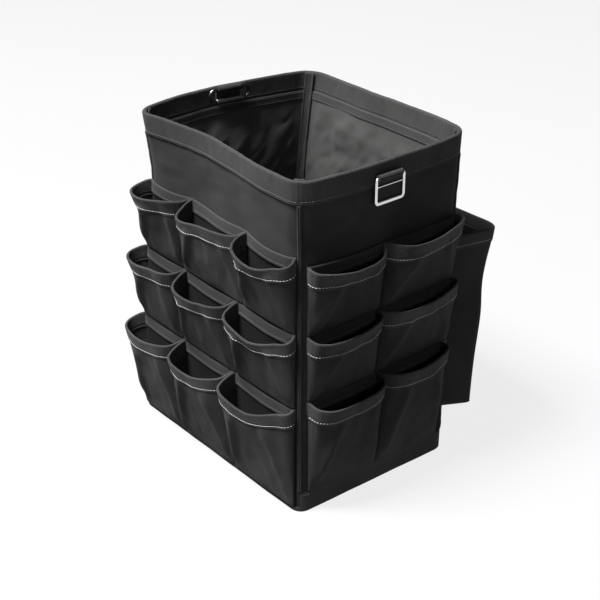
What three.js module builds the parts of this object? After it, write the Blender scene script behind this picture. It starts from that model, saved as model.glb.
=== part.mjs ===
// Open top tool tote: a rectangular canvas bucket with pockets sewn round its outside.
// Units are millimetres. +Z is up, +X runs along the long front face, and the front face looks towards -Y.
// The origin is the centre of the base, on the surface that the tote stands on.
import * as THREE from 'three';

// Body
const length = 250;
const width = 200;
const height = 335;
const wallThickness = 1.6;
const liningThickness = 1.0;
const gap = 0.3;
const bottomCorner = 12;
const rimCorner = 19;

// Rim hem, inner facing, bindings and bands
const hemDepth = 22;
const innerHemDepth = 20;
const hemThickness = 1.0;
const facingDepth = 9;
const facingThickness = 0.8;
const seamWidth = 5;
const seamThickness = 1.8;
const tapeWidth = 15;
const tapeThickness = 0.9;
const bandThickness = 1.0;
const tallBand = 21.5;
const lowBand = 5;

// Small pockets
const pocketDepth = 24;
const pocketCloth = 1.2;
const pocketHem = 13;
const pocketHemExtra = 0.8;
const mouthSag = 12;
const backingThickness = 1.0;
const pocketGap = 0.5;
const rowGap = 0.6;

// Large pocket on the back
const bigPocketWidth = 218;
const bigPocketTop = height - 110;
const bigPocketBottom = 39;
const bigPocketDepth = 56;
const bigPocketFootDepth = 43;
const bigPocketSag = 12;
const bigPocketMouthSag = 5;
const bigPocketCloth = 1.4;
const bigPocketHem = 14;
const bigPocketHemExtra = 0.8;

// Front tab with its ring
const tabLayer = 1.0;
const tabTop = height - 10;
const tabBottom = tabTop - 29;
const tabPinch = 6.5;
const tabPlace = 0.467;
const ringWidth = 36;
const tabWidth = ringWidth - 7;
const ringBottom = tabTop - 28;
const ringThickness = 1.8;
const ringTopBar = 2.2;
const ringLeg = 2.8;
const ringBottomBar = 3.6;
const ringCrossBar = 1.2;
const ringCrossDrop = 8.5;
const ringCorner = 4.5;
const barClearance = 0.4;

// Rear tab with its link
const rearTabWidth = 28;
const rearTabRise = 1.6;
const rearTabLength = 14;
const rearTabPlace = 0.475;
const linkWire = 3.2;
const linkLength = 49;
const linkDrop = 12;
const sleeveDiameter = 5;
const sleeveInset = 1;

// The plan outline at five heights: each corner's x is a share of half the length, and its y of half the width
const outlineColumns = ['level', 'front_left', 'front_right', 'back_right', 'back_left'];
const outlineTable = [
  [0.000, [-1.070, -1.050], [1.008, -0.950], [0.990, 0.900], [-1.020, 0.950]],
  [0.337, [-1.065, -1.020], [1.006, -0.950], [0.990, 0.920], [-1.020, 0.960]],
  [0.570, [-1.015, -0.980], [1.004, -0.950], [0.985, 0.945], [-1.000, 0.980]],
  [0.791, [-0.920, -0.970], [1.010, -0.958], [0.968, 0.985], [-0.970, 1.020]],
  [1.000, [-0.930, -1.045], [1.032, -0.985], [0.944, 1.050], [-0.944, 1.080]],
].map((row) => named(outlineColumns, row));

// How far each face bows outwards at the rim, as shares of half the width, at five places along it
const bowPlaces = [0, 0.2, 0.4, 0.6, 0.8, 1];
const bowTable = {
  front: [0, -0.062, -0.102, -0.062, 0.000, 0],
  right: [0, 0.043, 0.064, 0.056, 0.042, 0],
  back: [0, 0.032, 0.034, 0.016, 0.012, 0],
  left: [0, 0.056, 0.114, 0.136, 0.088, 0],
};
const bowStart = 0.5;

// Faces run anticlockwise seen from above, from one corner to the next
const faces = {
  front: { from: 'front_left', to: 'front_right', before: 'left', after: 'right', band: lowBand },
  right: { from: 'front_right', to: 'back_right', before: 'front', after: 'back', band: tallBand },
  back: { from: 'back_right', to: 'back_left', before: 'right', after: 'left', band: lowBand },
  left: { from: 'back_left', to: 'front_left', before: 'back', after: 'front', band: tallBand },
};

// Mouth height of each row of pockets, top row first, as shares of the height
const mouthLevels = {
  front: [0.791, 0.570, 0.337],
  right: [0.764, 0.555, 0.357],
};

// The small pockets. from and to are shares along the face, depths are shares of the pocket depth,
// sags of the mouth sag, and the soft fold is a share along the pocket with its depth share
const pocketColumns = ['face', 'row', 'from', 'to', 'leftDepth', 'rightDepth', 'leftSag', 'middleSag', 'rightSag',
  'foldPlace', 'fold'];
const pocketTable = [
  ['front', 1, 0.020, 0.322, 1.00, 0.76, 1.00, 0.60, 0.20, 0.60, 0.10],
  ['front', 1, 0.322, 0.701, 1.00, 0.74, 0.75, 0.50, 0.30, 0.52, 0.07],
  ['front', 1, 0.701, 0.980, 1.00, 0.80, 0.95, 1.10, 0.45, 0.45, 0.05],
  ['front', 2, 0.020, 0.327, 0.98, 0.78, 0.80, 0.50, 0.20, 0.62, 0.16],
  ['front', 2, 0.327, 0.674, 1.00, 0.76, 0.55, 0.42, 0.15, 0.64, 0.20],
  ['front', 2, 0.674, 0.980, 1.00, 0.80, 0.45, 0.75, 0.25, 0.40, 0.06],
  ['front', 3, 0.020, 0.302, 1.02, 0.82, 1.10, 0.75, 0.15, 0.55, 0.05],
  ['front', 3, 0.302, 0.631, 1.02, 0.82, 1.10, 0.80, 0.15, 0.45, 0.05],
  ['front', 3, 0.631, 0.980, 1.02, 0.82, 0.65, 0.62, 0.10, 0.55, 0.04],
  ['right', 1, 0.046, 0.504, 0.88, 0.68, 0.15, 0.50, 0.40, 0.62, 0.09],
  ['right', 1, 0.504, 0.975, 0.86, 0.66, 0.15, 0.50, 0.20, 0.40, 0.06],
  ['right', 2, 0.046, 0.504, 0.88, 0.68, 0.05, 0.42, 0.30, 0.55, 0.06],
  ['right', 2, 0.504, 0.975, 0.84, 0.64, 0.05, 0.25, 0.08, 0.45, 0.08],
  ['right', 3, 0.046, 0.512, 0.94, 0.72, 0.12, 0.75, 0.55, 0.48, 0.05],
  ['right', 3, 0.512, 0.950, 0.92, 0.68, 0.05, 0.45, 0.15, 0.42, 0.12],
].map((row) => named(pocketColumns, row));
const rowEnds = { front: [0.020, 0.980], right: [0.046, 0.975] };

// Finishes
const canvas = { color: 0x1b1b1c, roughness: 0.92, metalness: 0 };
const hemCanvas = { color: 0x242425, roughness: 0.9, metalness: 0 };
const liningCloth = { color: 0x38393b, roughness: 0.7, metalness: 0 };
const webbing = { color: 0x161617, roughness: 0.85, metalness: 0 };
const silver = { color: 0xc9cacc, roughness: 0.25, metalness: 1 };
const darkMetal = { color: 0x3a3b3e, roughness: 0.35, metalness: 1 };

function named(columns, row) {
  return Object.fromEntries(columns.map((column, index) => [column, row[index]]));
}

const lerp = (a, b, t) => a + (b - a) * t;
const clamp = (t) => Math.min(1, Math.max(0, t));
const smooth = (t) => clamp(t) ** 2 * (3 - 2 * clamp(t));

// A smooth curve through table values: cubic pieces with level ends and mean slopes between
function curveThrough(places, values, place) {
  const last = places.length - 1;
  let k = 0;
  while (k < last - 1 && place > places[k + 1]) k += 1;
  const slope = (i) => (i <= 0 || i >= last ? 0 : (values[i + 1] - values[i - 1]) / (places[i + 1] - places[i - 1]));
  const span = places[k + 1] - places[k];
  const t = (place - places[k]) / span;
  const a = values[k] * (1 + 2 * t) * (1 - t) ** 2 + values[k + 1] * t * t * (3 - 2 * t);
  return a + span * (slope(k) * t * (1 - t) ** 2 - slope(k + 1) * t * t * (1 - t));
}

function cornerAt(corner, z) {
  const level = z / height;
  const rows = outlineTable;
  let k = 0;
  while (k < rows.length - 2 && level > rows[k + 1].level) k += 1;
  const t = (level - rows[k].level) / (rows[k + 1].level - rows[k].level);
  const [x0, y0] = rows[k][corner];
  const [x1, y1] = rows[k + 1][corner];
  return new THREE.Vector2(lerp(x0, x1, t) * length / 2, lerp(y0, y1, t) * width / 2);
}

function direction(face, z) {
  const { from, to } = faces[face];
  return cornerAt(to, z).sub(cornerAt(from, z)).normalize();
}

const outwards = (along) => new THREE.Vector2(along.y, -along.x);

// The wall's outer face in plan, and the direction in which its cloth is thick
function exactWall(face, share, z) {
  const { from, to, before, after } = faces[face];
  const start = cornerAt(from, z);
  const end = cornerAt(to, z);
  const span = start.distanceTo(end);
  const along = direction(face, z);
  const out = outwards(along);
  const round = lerp(bottomCorner, rimCorner, z / height);
  const fade = smooth((z / height - bowStart) / (1 - bowStart));
  const bow = curveThrough(bowPlaces, bowTable[face], share) * fade * width / 2;
  const atStart = clamp(1 - share * span / round) ** 2;
  const atEnd = clamp(1 - (1 - share) * span / round) ** 2;
  const point = start.lerp(end, share).addScaledVector(out, bow);
  point.addScaledVector(along.clone().sub(direction(before, z)), atStart * round / 4);
  point.addScaledVector(direction(after, z).sub(along), atEnd * round / 4);
  return point;
}

function wallNormal(face, share, z) {
  const { before, after } = faces[face];
  const step = 0.004;
  const low = exactWall(face, Math.max(0, share - step), z);
  const high = exactWall(face, Math.min(1, share + step), z);
  const out = outwards(high.sub(low).normalize());
  const nearEnd = share < 0.5 ? share : 1 - share;
  const weight = clamp(1 - nearEnd / 0.06);
  const own = outwards(direction(face, z));
  const corner = own.add(outwards(direction(share < 0.5 ? before : after, z))).normalize();
  return out.lerp(corner, weight).normalize();
}

// The wall is a net of flat facets, and all that lies on it is placed from the same net
const wallColumns = 12;
const wallShares = Array.from({ length: wallColumns + 1 }, (_, i) => (1 - Math.cos(Math.PI * i / wallColumns)) / 2);
const wallLevels = [0, 0.337, 0.57, 0.68, 0.791, 0.865, 0.93, 1];
const liningLevels = [0.337, 0.57, 0.68, 0.791, 0.865];
const wallNet = {};
for (const face of Object.keys(faces)) {
  wallNet[face] = wallLevels.map((level) => wallShares.map((share) => ({
    point: exactWall(face, share, level * height),
    normal: wallNormal(face, share, level * height),
  })));
}

function cell(list, value) {
  let k = 0;
  while (k < list.length - 2 && value > list[k + 1]) k += 1;
  return [k, (value - list[k]) / (list[k + 1] - list[k])];
}

function netAt(face, share, z) {
  const [i, s] = cell(wallShares, share);
  const [j, t] = cell(wallLevels, z / height);
  const net = wallNet[face];
  const mix = (key) => net[j][i][key].clone().lerp(net[j][i + 1][key], s)
    .lerp(net[j + 1][i][key].clone().lerp(net[j + 1][i + 1][key], s), t);
  return { point: mix('point'), normal: mix('normal').normalize() };
}

// A point at a share along a face and a height, standing out from the wall's outer face
function onWall(face, share, z, out) {
  const { point, normal } = netAt(face, share, z);
  return new THREE.Vector3(point.x + normal.x * out, point.y + normal.y * out, z);
}

const spanAt = (face, z) => cornerAt(faces[face].from, z).distanceTo(cornerAt(faces[face].to, z));
const shareOf = (face, distance, z) => distance / spanAt(face, z);

function between(list, low, high) {
  const margin = (high - low) * 0.004;
  return [low, ...list.filter((value) => value > low + margin && value < high - margin), high];
}

function evenly(count, low = 0, high = 1) {
  return Array.from({ length: count + 1 }, (_, i) => lerp(low, high, i / count));
}

// Solids
function solid(points, triangles) {
  const geometry = new THREE.BufferGeometry();
  geometry.setAttribute('position', new THREE.Float32BufferAttribute(points.flatMap((p) => [p.x, p.y, p.z]), 3));
  let volume = 0;
  const normal = new THREE.Vector3();
  for (const [a, b, c] of triangles) volume += points[a].dot(normal.crossVectors(points[b], points[c]));
  const facing = volume < 0 ? triangles.map(([a, b, c]) => [a, c, b]) : triangles;
  geometry.setIndex(facing.flat());
  geometry.computeVertexNormals();
  return geometry;
}

// A cloth wall: two nets of points with the same rows and columns, joined round their edges
function cloth(outer, inner) {
  const rows = outer.length;
  const columns = outer[0].length;
  const points = [...outer.flat(), ...inner.flat()];
  const triangles = [];
  const at = (side, j, i) => (side * rows + j) * columns + i;
  const quad = (a, b, c, d) => triangles.push([a, b, c], [a, c, d]);
  for (let j = 0; j < rows - 1; j += 1) {
    for (let i = 0; i < columns - 1; i += 1) {
      quad(at(0, j, i), at(0, j, i + 1), at(0, j + 1, i + 1), at(0, j + 1, i));
      quad(at(1, j, i), at(1, j + 1, i), at(1, j + 1, i + 1), at(1, j, i + 1));
    }
    quad(at(0, j, 0), at(0, j + 1, 0), at(1, j + 1, 0), at(1, j, 0));
    quad(at(0, j, columns - 1), at(1, j, columns - 1), at(1, j + 1, columns - 1), at(0, j + 1, columns - 1));
  }
  for (let i = 0; i < columns - 1; i += 1) {
    quad(at(0, 0, i), at(1, 0, i), at(1, 0, i + 1), at(0, 0, i + 1));
    quad(at(0, rows - 1, i), at(0, rows - 1, i + 1), at(1, rows - 1, i + 1), at(1, rows - 1, i));
  }
  return solid(points, triangles);
}

// A strip with one section carried along its length: sections are loops of points, flat ones closing the ends
function strip(sections, outline) {
  const size = sections[0].length;
  const triangles = [];
  for (let k = 0; k < sections.length - 1; k += 1) {
    for (let i = 0; i < size; i += 1) {
      const next = (i + 1) % size;
      const [a, b, c, d] = [k * size + i, k * size + next, (k + 1) * size + next, (k + 1) * size + i];
      triangles.push([a, b, c], [a, c, d]);
    }
  }
  const contour = outline.map(([x, y]) => new THREE.Vector2(x, y));
  const faced = THREE.ShapeUtils.isClockWise(contour) ? -1 : 1;
  const last = (sections.length - 1) * size;
  for (const [a, b, c] of THREE.ShapeUtils.triangulateShape(contour, [])) {
    const turned = faced > 0 ? [a, c, b] : [a, b, c];
    triangles.push(turned, turned.map((index) => last + index).reverse());
  }
  return solid(sections.flat(), triangles);
}

// The facets between two loops of points, their diagonals leaning the same way up and down
function joinLoops(loops, k, after) {
  const size = loops[k].length;
  const rising = loops[after][0].z >= loops[k][0].z;
  return loops[k].flatMap((_, i) => {
    const next = (i + 1) % size;
    const [a, b, c, d] = [k * size + i, k * size + next, after * size + next, after * size + i];
    return rising ? [[a, b, c], [a, c, d]] : [[a, b, d], [b, c, d]];
  });
}

// A cup or a plate: loops of points joined one after another, with the first and last closed to their middles
function cup(loops) {
  const size = loops[0].length;
  const middle = (loop) => loop.reduce((sum, p) => sum.add(p), new THREE.Vector3()).divideScalar(loop.length);
  const points = [...loops.flat(), middle(loops[0]), middle(loops[loops.length - 1])];
  const triangles = loops.slice(1).flatMap((_, k) => joinLoops(loops, k, k + 1));
  const first = loops.length * size;
  for (let i = 0; i < size; i += 1) {
    const next = (i + 1) % size;
    triangles.push([first, next, i]);
    triangles.push([first + 1, (loops.length - 1) * size + i, (loops.length - 1) * size + next]);
  }
  return solid(points, triangles);
}

// A closed belt: loops of points joined one after another and back to the first
function belt(loops) {
  return solid(loops.flat(), loops.flatMap((_, k) => joinLoops(loops, k, (k + 1) % loops.length)));
}

// The whole way round the tote at one height
function around(z, out) {
  return Object.keys(faces).flatMap((face) => wallShares.slice(0, -1).map((share) => onWall(face, share, z, out)));
}

const group = new THREE.Group();

function add(name, geometry, finish) {
  const mesh = new THREE.Mesh(geometry, new THREE.MeshStandardMaterial(finish));
  mesh.name = name;
  group.add(mesh);
  return mesh;
}

// Base, walls and lining
const baseThickness = 2.0;
const wallFoot = baseThickness + gap;
const wallTop = height - hemThickness - gap;
const liningOut = -(wallThickness + 2 * gap);
const liningIn = liningOut - liningThickness;

function basePanel() {
  return cup([around(0, 0), around(baseThickness, 0)]);
}

function wallPanel(face) {
  const endShare = shareOf(face, gap / 2, height / 2);
  const shares = between(wallShares, endShare, 1 - endShare);
  const levels = between(wallLevels.map((level) => level * height), wallFoot, wallTop);
  const net = (out) => levels.map((z) => shares.map((share) => onWall(face, share, z, out)));
  return cloth(net(0), net(-wallThickness));
}

function lining() {
  const top = height - innerHemDepth - gap;
  const levels = between(liningLevels.map((level) => level * height), wallFoot, top);
  const outer = levels.map((z) => around(z, liningOut));
  const inner = [wallFoot + liningThickness, ...levels.slice(1)].map((z) => around(z, liningIn));
  return cup([...inner, ...outer.reverse()]);
}

function innerFacing() {
  const top = height - innerHemDepth - gap;
  const bottom = top - facingDepth;
  const near = liningIn - gap;
  const far = near - facingThickness;
  return belt([around(bottom, near), around(top, near), around(top, far), around(bottom, far)]);
}

// Rim hem: cloth folded over the top edge, longer outside than inside
function rimHem(face) {
  const out = gap + hemThickness;
  const inside = -(wallThickness + gap + hemThickness);
  const low = height - hemDepth;
  const inLow = height - innerHemDepth;
  const section = [[gap, low], [out, low], [out, height], [inside, height], [inside, inLow],
    [inside + hemThickness, inLow], [inside + hemThickness, height - hemThickness], [gap, height - hemThickness]];
  const endShare = shareOf(face, gap / 2, height);
  const shares = between(wallShares, endShare, 1 - endShare);
  return strip(shares.map((share) => section.map(([far, z]) => onWall(face, share, z, far))), section);
}

// Corner pieces
function cornerStrip(face, section, levels) {
  const loops = levels.map((z) => section.map(([across, far]) => {
    const { after } = faces[face];
    const distance = shareOf(across < 0 ? face : after, Math.abs(across), z);
    return across < 0 ? onWall(face, 1 - distance, z, far) : onWall(after, distance, z, far);
  }));
  return strip(loops, section);
}

function cornerSeam(face) {
  const foot = Math.max(faces[face].band, faces[faces[face].after].band) + gap;
  const top = height - hemDepth - gap;
  const half = seamWidth / 2;
  const near = gap;
  const far = gap + seamThickness;
  const section = [[-half, near], [0, near], [half, near], [half, near + seamThickness * 0.55], [half * 0.55, far],
    [0, far - seamThickness * 0.4], [-half * 0.55, far], [-half, near + seamThickness * 0.55]];
  return cornerStrip(face, section, between(wallLevels.map((level) => level * height), foot, top));
}

function cornerTape(face) {
  const foot = wallFoot + liningThickness + gap;
  const half = tapeWidth / 2;
  const near = liningIn - facingThickness - 2 * gap;
  const far = near - tapeThickness;
  const section = [[-half, near], [0, near], [half, near], [half, far], [0, far], [-half, far]];
  return cornerStrip(face, section, between(wallLevels.map((level) => level * height), foot, height - gap));
}

function bottomBand(face) {
  const { band } = faces[face];
  const section = [[gap, 0], [gap + bandThickness, 0], [gap + bandThickness, band], [gap, band]];
  const endShare = shareOf(face, gap / 2, 0);
  const shares = between(wallShares, endShare, 1 - endShare);
  return strip(shares.map((share) => section.map(([far, z]) => onWall(face, share, z, far))), section);
}

// Rows of small pockets
const backingOut = gap + backingThickness;
const pocketOut = backingOut + pocketGap;

function rowSpan(face, row) {
  const levels = mouthLevels[face];
  const top = levels[row - 1] * height;
  const bottom = row < levels.length ? levels[row] * height + rowGap : faces[face].band + rowGap;
  return [bottom, top];
}

function rowBacking(face, row) {
  const [bottom, top] = rowSpan(face, row);
  const shares = between(wallShares, ...rowEnds[face]);
  const levels = between(wallLevels.map((level) => level * height), bottom, top);
  const net = (out) => levels.map((z) => shares.map((share) => onWall(face, share, z, out)));
  return cloth(net(backingOut), net(gap));
}

// A pocket front: boxy and deep at its mouth, where the hem sags between the joints, and flat at its foot
const pocketColumnsAcross = 10;
const pocketBoxiness = 3.4;
const pocketFootBoxiness = 2.2;
const pocketFootShare = 0.05;

function mouthDrop(pocket, share) {
  const places = [0, 0.16, 0.5, 0.84, 1];
  const sags = [0, pocket.leftSag, pocket.middleSag, pocket.rightSag, 0];
  return mouthSag * curveThrough(places, sags, share);
}

function pocketPoint(pocket, angle, rise, outside) {
  const { face, row, from, to } = pocket;
  const [bottom, top] = rowSpan(face, row);
  const hemShare = pocketHem / (top - bottom);
  const inHem = smooth((rise - (1 - hemShare)) / (hemShare * 0.08));
  const boxiness = lerp(pocketFootBoxiness, pocketBoxiness, rise);
  const across = -Math.cos(angle);
  const curved = Math.sign(across) * Math.abs(across) ** (2 / boxiness);
  const side = (curved + 1) / 2;
  const swell = lerp(pocketFootShare, 1, rise ** 0.85);
  const fold = pocket.fold * (1 - rise * 0.6) * Math.exp(-(((side - pocket.foldPlace) / 0.13) ** 2));
  const depth = pocketDepth * lerp(pocket.leftDepth, pocket.rightDepth, side) * swell * (1 - fold);
  const layer = outside ? pocketCloth + pocketHemExtra * inHem : 0;
  const z = lerp(bottom, top, rise) - mouthDrop(pocket, side) * rise ** 2;
  const half = (to - from) / 2 - shareOf(face, gap / 2 + (outside ? pocketHemExtra * (1 - inHem) : pocketHemExtra
    + pocketCloth), z);
  const share = (from + to) / 2 + curved * half;
  const out = pocketOut + (depth + layer) * Math.abs(Math.sin(angle)) ** (2 / boxiness);
  return onWall(face, share, z, out);
}

function pocketFront(pocket) {
  const [bottom, top] = rowSpan(pocket.face, pocket.row);
  const hemShare = pocketHem / (top - bottom);
  const rises = [0, 0.3, 0.6, 1 - hemShare, 1 - hemShare * 0.9, 1];
  const angles = evenly(pocketColumnsAcross, 0, Math.PI);
  const net = (outside) => rises.map((rise) => angles.map((angle) => pocketPoint(pocket, angle, rise, outside)));
  return cloth(net(true), net(false));
}

// Large box pocket on the back: an outer panel, two gussets and a floor
const bigPocketStart = shareOf('back', (spanAt('back', height / 3) - bigPocketWidth) / 2, height / 3);
const bigPocketOut = gap * 2;
const bigPocketLevels = [0, 0.35, 0.7];

function bigPocketDepthAt(rise) {
  return lerp(bigPocketFootDepth, bigPocketDepth, rise);
}

function bigPocketHemAt(rise) {
  const hemShare = bigPocketHem / (bigPocketTop - bigPocketBottom);
  return smooth((rise - (1 - hemShare)) / (hemShare * 0.08)) * bigPocketHemExtra;
}

function bigPocketRises() {
  const hemShare = bigPocketHem / (bigPocketTop - bigPocketBottom);
  return [...bigPocketLevels, 1 - hemShare, 1 - hemShare * 0.9, 1];
}

// Height at a rise, lower towards the pocket's outer edge at its foot
function bigPocketHeight(rise, outShare) {
  return lerp(bigPocketBottom - bigPocketSag * outShare, bigPocketTop, rise);
}

function bigPocketPanel() {
  const bulge = (share) => 1 + 0.07 * Math.sin(Math.PI * share);
  const shares = evenly(8, bigPocketStart, 1 - bigPocketStart);
  const net = (layer) => bigPocketRises().map((rise) => shares.map((share, i) => {
    const z = bigPocketHeight(rise, 1) - bigPocketMouthSag * Math.sin(Math.PI * i / 8) * rise ** 3;
    const out = bigPocketDepthAt(rise) * bulge(i / 8) + (layer ? bigPocketHemAt(rise) : -bigPocketCloth);
    return onWall('back', share, z, bigPocketOut + out);
  }));
  return cloth(net(true), net(false));
}

function bigPocketGusset(atEnd) {
  const face = 'back';
  const inset = (distance, z) => {
    const share = bigPocketStart + shareOf(face, distance, z);
    return atEnd ? 1 - share : share;
  };
  const outs = evenly(4);
  const net = (outer) => bigPocketRises().map((rise) => outs.map((outShare) => {
    const z = bigPocketHeight(rise, outShare);
    const reach = lerp(0, bigPocketDepthAt(rise) - bigPocketCloth - gap, outShare);
    const distance = outer ? bigPocketHemExtra - bigPocketHemAt(rise) : bigPocketHemExtra + bigPocketCloth;
    return onWall(face, inset(distance, z), z, bigPocketOut + reach);
  }));
  return cloth(net(true), net(false));
}

function bigPocketFloor() {
  const side = bigPocketHemExtra + bigPocketCloth + gap;
  const endShare = bigPocketStart + shareOf('back', side, bigPocketBottom);
  const shares = evenly(6, endShare, 1 - endShare);
  const outs = evenly(3);
  const net = (lift) => outs.map((outShare) => shares.map((share) => {
    const z = bigPocketHeight(0, outShare) + lift;
    const reach = bigPocketDepthAt(0) - bigPocketCloth - gap;
    return onWall('back', share, z, bigPocketOut + reach * outShare);
  }));
  return cloth(net(bigPocketCloth), net(0));
}

// The points of an outline, without the doubles where its lines and arcs meet, in one sense round it
function cleanPoints(path, segments, clockwise) {
  const points = path.getPoints(segments);
  const clean = points.filter((point, i) => point.distanceTo(points[(i + points.length - 1) % points.length]) > 0.01);
  return THREE.ShapeUtils.isClockWise(clean) === clockwise ? clean : clean.reverse();
}

// A flat outline made thick along +Z, centred on its plane
function plate(outline, thickness, segments) {
  const shape = new THREE.Shape(cleanPoints(outline, segments, false));
  shape.holes = outline.holes.map((hole) => new THREE.Path(cleanPoints(hole, segments, true)));
  const geometry = new THREE.ExtrudeGeometry(shape, { depth: thickness, bevelEnabled: false, curveSegments: 1 });
  geometry.translate(0, 0, -thickness / 2);
  return geometry;
}

// Webbing tab: a strap folded over a bar, its two ends sewn down together. Profile points are (out, up)
function webbingTab(eye, layer, clearance, drop, pinchDrop) {
  const hole = eye.bar + clearance;
  const reach = hole + layer;
  const shape = new THREE.Shape();
  shape.moveTo(0, eye.up - drop);
  shape.lineTo(0, eye.up);
  const folds = 10;
  for (let i = 1; i <= folds; i += 1) {
    const angle = Math.PI * (1 - i / folds);
    const radiusOut = i < folds / 2 ? Math.max(reach, eye.out * Math.abs(Math.cos(angle)) ** 3) : reach;
    shape.lineTo(eye.out + radiusOut * Math.cos(angle), eye.up + reach * Math.sin(angle));
  }
  shape.lineTo(eye.out + reach * 0.75, eye.up - pinchDrop * 0.5);
  shape.lineTo(2 * layer, eye.up - pinchDrop);
  shape.lineTo(2 * layer, eye.up - drop);
  shape.closePath();
  const window = new THREE.Path();
  window.absarc(eye.out, eye.up, hole, 0, 2 * Math.PI, true);
  shape.holes.push(window);
  return shape;
}

function roundedRectangle(path, left, right, low, high, corner) {
  path.moveTo(left + corner, low);
  path.lineTo(right - corner, low);
  path.absarc(right - corner, low + corner, corner, -Math.PI / 2, 0);
  path.lineTo(right, high - corner);
  path.absarc(right - corner, high - corner, corner, 0, Math.PI / 2);
  path.lineTo(left + corner, high);
  path.absarc(left + corner, high - corner, corner, Math.PI / 2, Math.PI);
  path.lineTo(left, low + corner);
  path.absarc(left + corner, low + corner, corner, Math.PI, 1.5 * Math.PI);
  return path;
}

// Stands a piece on a face of the tote: its x runs along the face, its y up and its z outwards
function standOn(mesh, face, share, z, out, inwards) {
  const outward = netAt(face, share, z).normal;
  const along = new THREE.Vector2(-outward.y, outward.x);
  const turn = inwards ? -1 : 1;
  const place = onWall(face, share, z, out);
  const basis = new THREE.Matrix4().makeBasis(
    new THREE.Vector3(along.x * turn, along.y * turn, 0),
    new THREE.Vector3(0, 0, 1),
    new THREE.Vector3(outward.x * turn, outward.y * turn, 0),
  );
  mesh.setRotationFromMatrix(basis);
  mesh.position.set(place.x, place.y, 0);
}

function tabSolid(shape, wide) {
  const geometry = plate(shape, wide, 6);
  geometry.rotateY(-Math.PI / 2);
  return geometry;
}

const ringEye = {
  bar: Math.hypot(ringTopBar, ringThickness) / 2,
  up: tabTop - tabLayer - barClearance - Math.hypot(ringTopBar, ringThickness) / 2,
  out: 2 * tabLayer + gap + ringThickness / 2,
};

function ringSolid() {
  const top = ringEye.up + ringTopBar / 2;
  const half = ringWidth / 2;
  const cross = ringEye.up - ringCrossDrop;
  const shape = roundedRectangle(new THREE.Shape(), -half, half, ringBottom, top, ringCorner);
  const inner = half - ringLeg;
  const upper = roundedRectangle(new THREE.Path(), -inner, inner, cross + ringCrossBar, top - ringTopBar, 1);
  const lower = roundedRectangle(new THREE.Path(), -inner, inner, ringBottom + ringBottomBar, cross, 1);
  shape.holes.push(upper, lower);
  const geometry = plate(shape, ringThickness, 2);
  geometry.translate(0, 0, ringEye.out);
  return geometry;
}

const linkEye = {
  bar: linkWire / 2,
  up: height + rearTabRise - tabLayer - barClearance - linkWire / 2,
  out: 2 * tabLayer + gap + sleeveDiameter / 2,
};
const linkStraight = linkLength - linkWire - linkDrop;

class OvalCurve extends THREE.Curve {
  getPoint(t) {
    const radius = linkDrop / 2;
    const straight = linkStraight;
    const arc = Math.PI * radius;
    const total = 2 * straight + 2 * arc;
    let way = t * total;
    const middle = linkEye.up - radius;
    if (way < straight) return new THREE.Vector3(straight / 2 - way, middle + radius, linkEye.out);
    way -= straight;
    if (way < arc) {
      const angle = Math.PI / 2 + way / radius;
      return new THREE.Vector3(-straight / 2 + radius * Math.cos(angle), middle + radius * Math.sin(angle), linkEye.out);
    }
    way -= arc;
    if (way < straight) return new THREE.Vector3(-straight / 2 + way, middle - radius, linkEye.out);
    way -= straight;
    const angle = -Math.PI / 2 + way / radius;
    return new THREE.Vector3(straight / 2 + radius * Math.cos(angle), middle + radius * Math.sin(angle), linkEye.out);
  }
}

// A closed wire: rings of points about the curve, joined round
function linkSolid() {
  const curve = new OvalCurve();
  const steps = 24;
  const sides = 6;
  const loops = evenly(sides).slice(0, -1).map((turn) => evenly(steps).slice(0, -1).map((t) => {
    const point = curve.getPoint(t);
    const ahead = curve.getPoint((t + 1e-4) % 1).sub(curve.getPoint((t - 1e-4 + 1) % 1)).normalize();
    const side = new THREE.Vector3(-ahead.y, ahead.x, 0);
    const angle = turn * 2 * Math.PI;
    point.addScaledVector(side, Math.cos(angle) * linkWire / 2);
    point.z += Math.sin(angle) * linkWire / 2;
    return point;
  }));
  return belt(loops);
}

function sleeveSolid() {
  const shape = new THREE.Shape();
  shape.absarc(0, 0, sleeveDiameter / 2, 0, 2 * Math.PI);
  const bore = new THREE.Path();
  bore.absarc(0, 0, linkWire / 2 + gap / 2, 0, 2 * Math.PI, true);
  shape.holes.push(bore);
  const geometry = plate(shape, linkStraight - 2 * sleeveInset, 6);
  geometry.rotateY(Math.PI / 2);
  geometry.translate(0, linkEye.up - linkDrop, linkEye.out);
  return geometry;
}

// Assembly
add('base_panel', basePanel(), canvas);
add('lining', lining(), liningCloth);
add('inner_facing', innerFacing(), hemCanvas);
for (const face of Object.keys(faces)) {
  add(`${face}_panel`, wallPanel(face), canvas);
  add(`${face}_rim_hem`, rimHem(face), hemCanvas);
  add(`${face}_bottom_band`, bottomBand(face), hemCanvas);
  add(`${faces[face].to}_corner_seam`, cornerSeam(face), hemCanvas);
  add(`${faces[face].to}_corner_tape`, cornerTape(face), hemCanvas);
}
for (const [face, levels] of Object.entries(mouthLevels)) {
  levels.forEach((level, index) => add(`${face}_row${index + 1}_backing`, rowBacking(face, index + 1), hemCanvas));
}
const counts = {};
for (const pocket of pocketTable) {
  const key = `${pocket.face}_row${pocket.row}`;
  counts[key] = (counts[key] || 0) + 1;
  add(`${key}_pocket${counts[key]}`, pocketFront(pocket), canvas);
}
add('big_pocket_panel', bigPocketPanel(), canvas);
add('big_pocket_right_gusset', bigPocketGusset(false), canvas);
add('big_pocket_left_gusset', bigPocketGusset(true), canvas);
add('big_pocket_floor', bigPocketFloor(), canvas);

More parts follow.
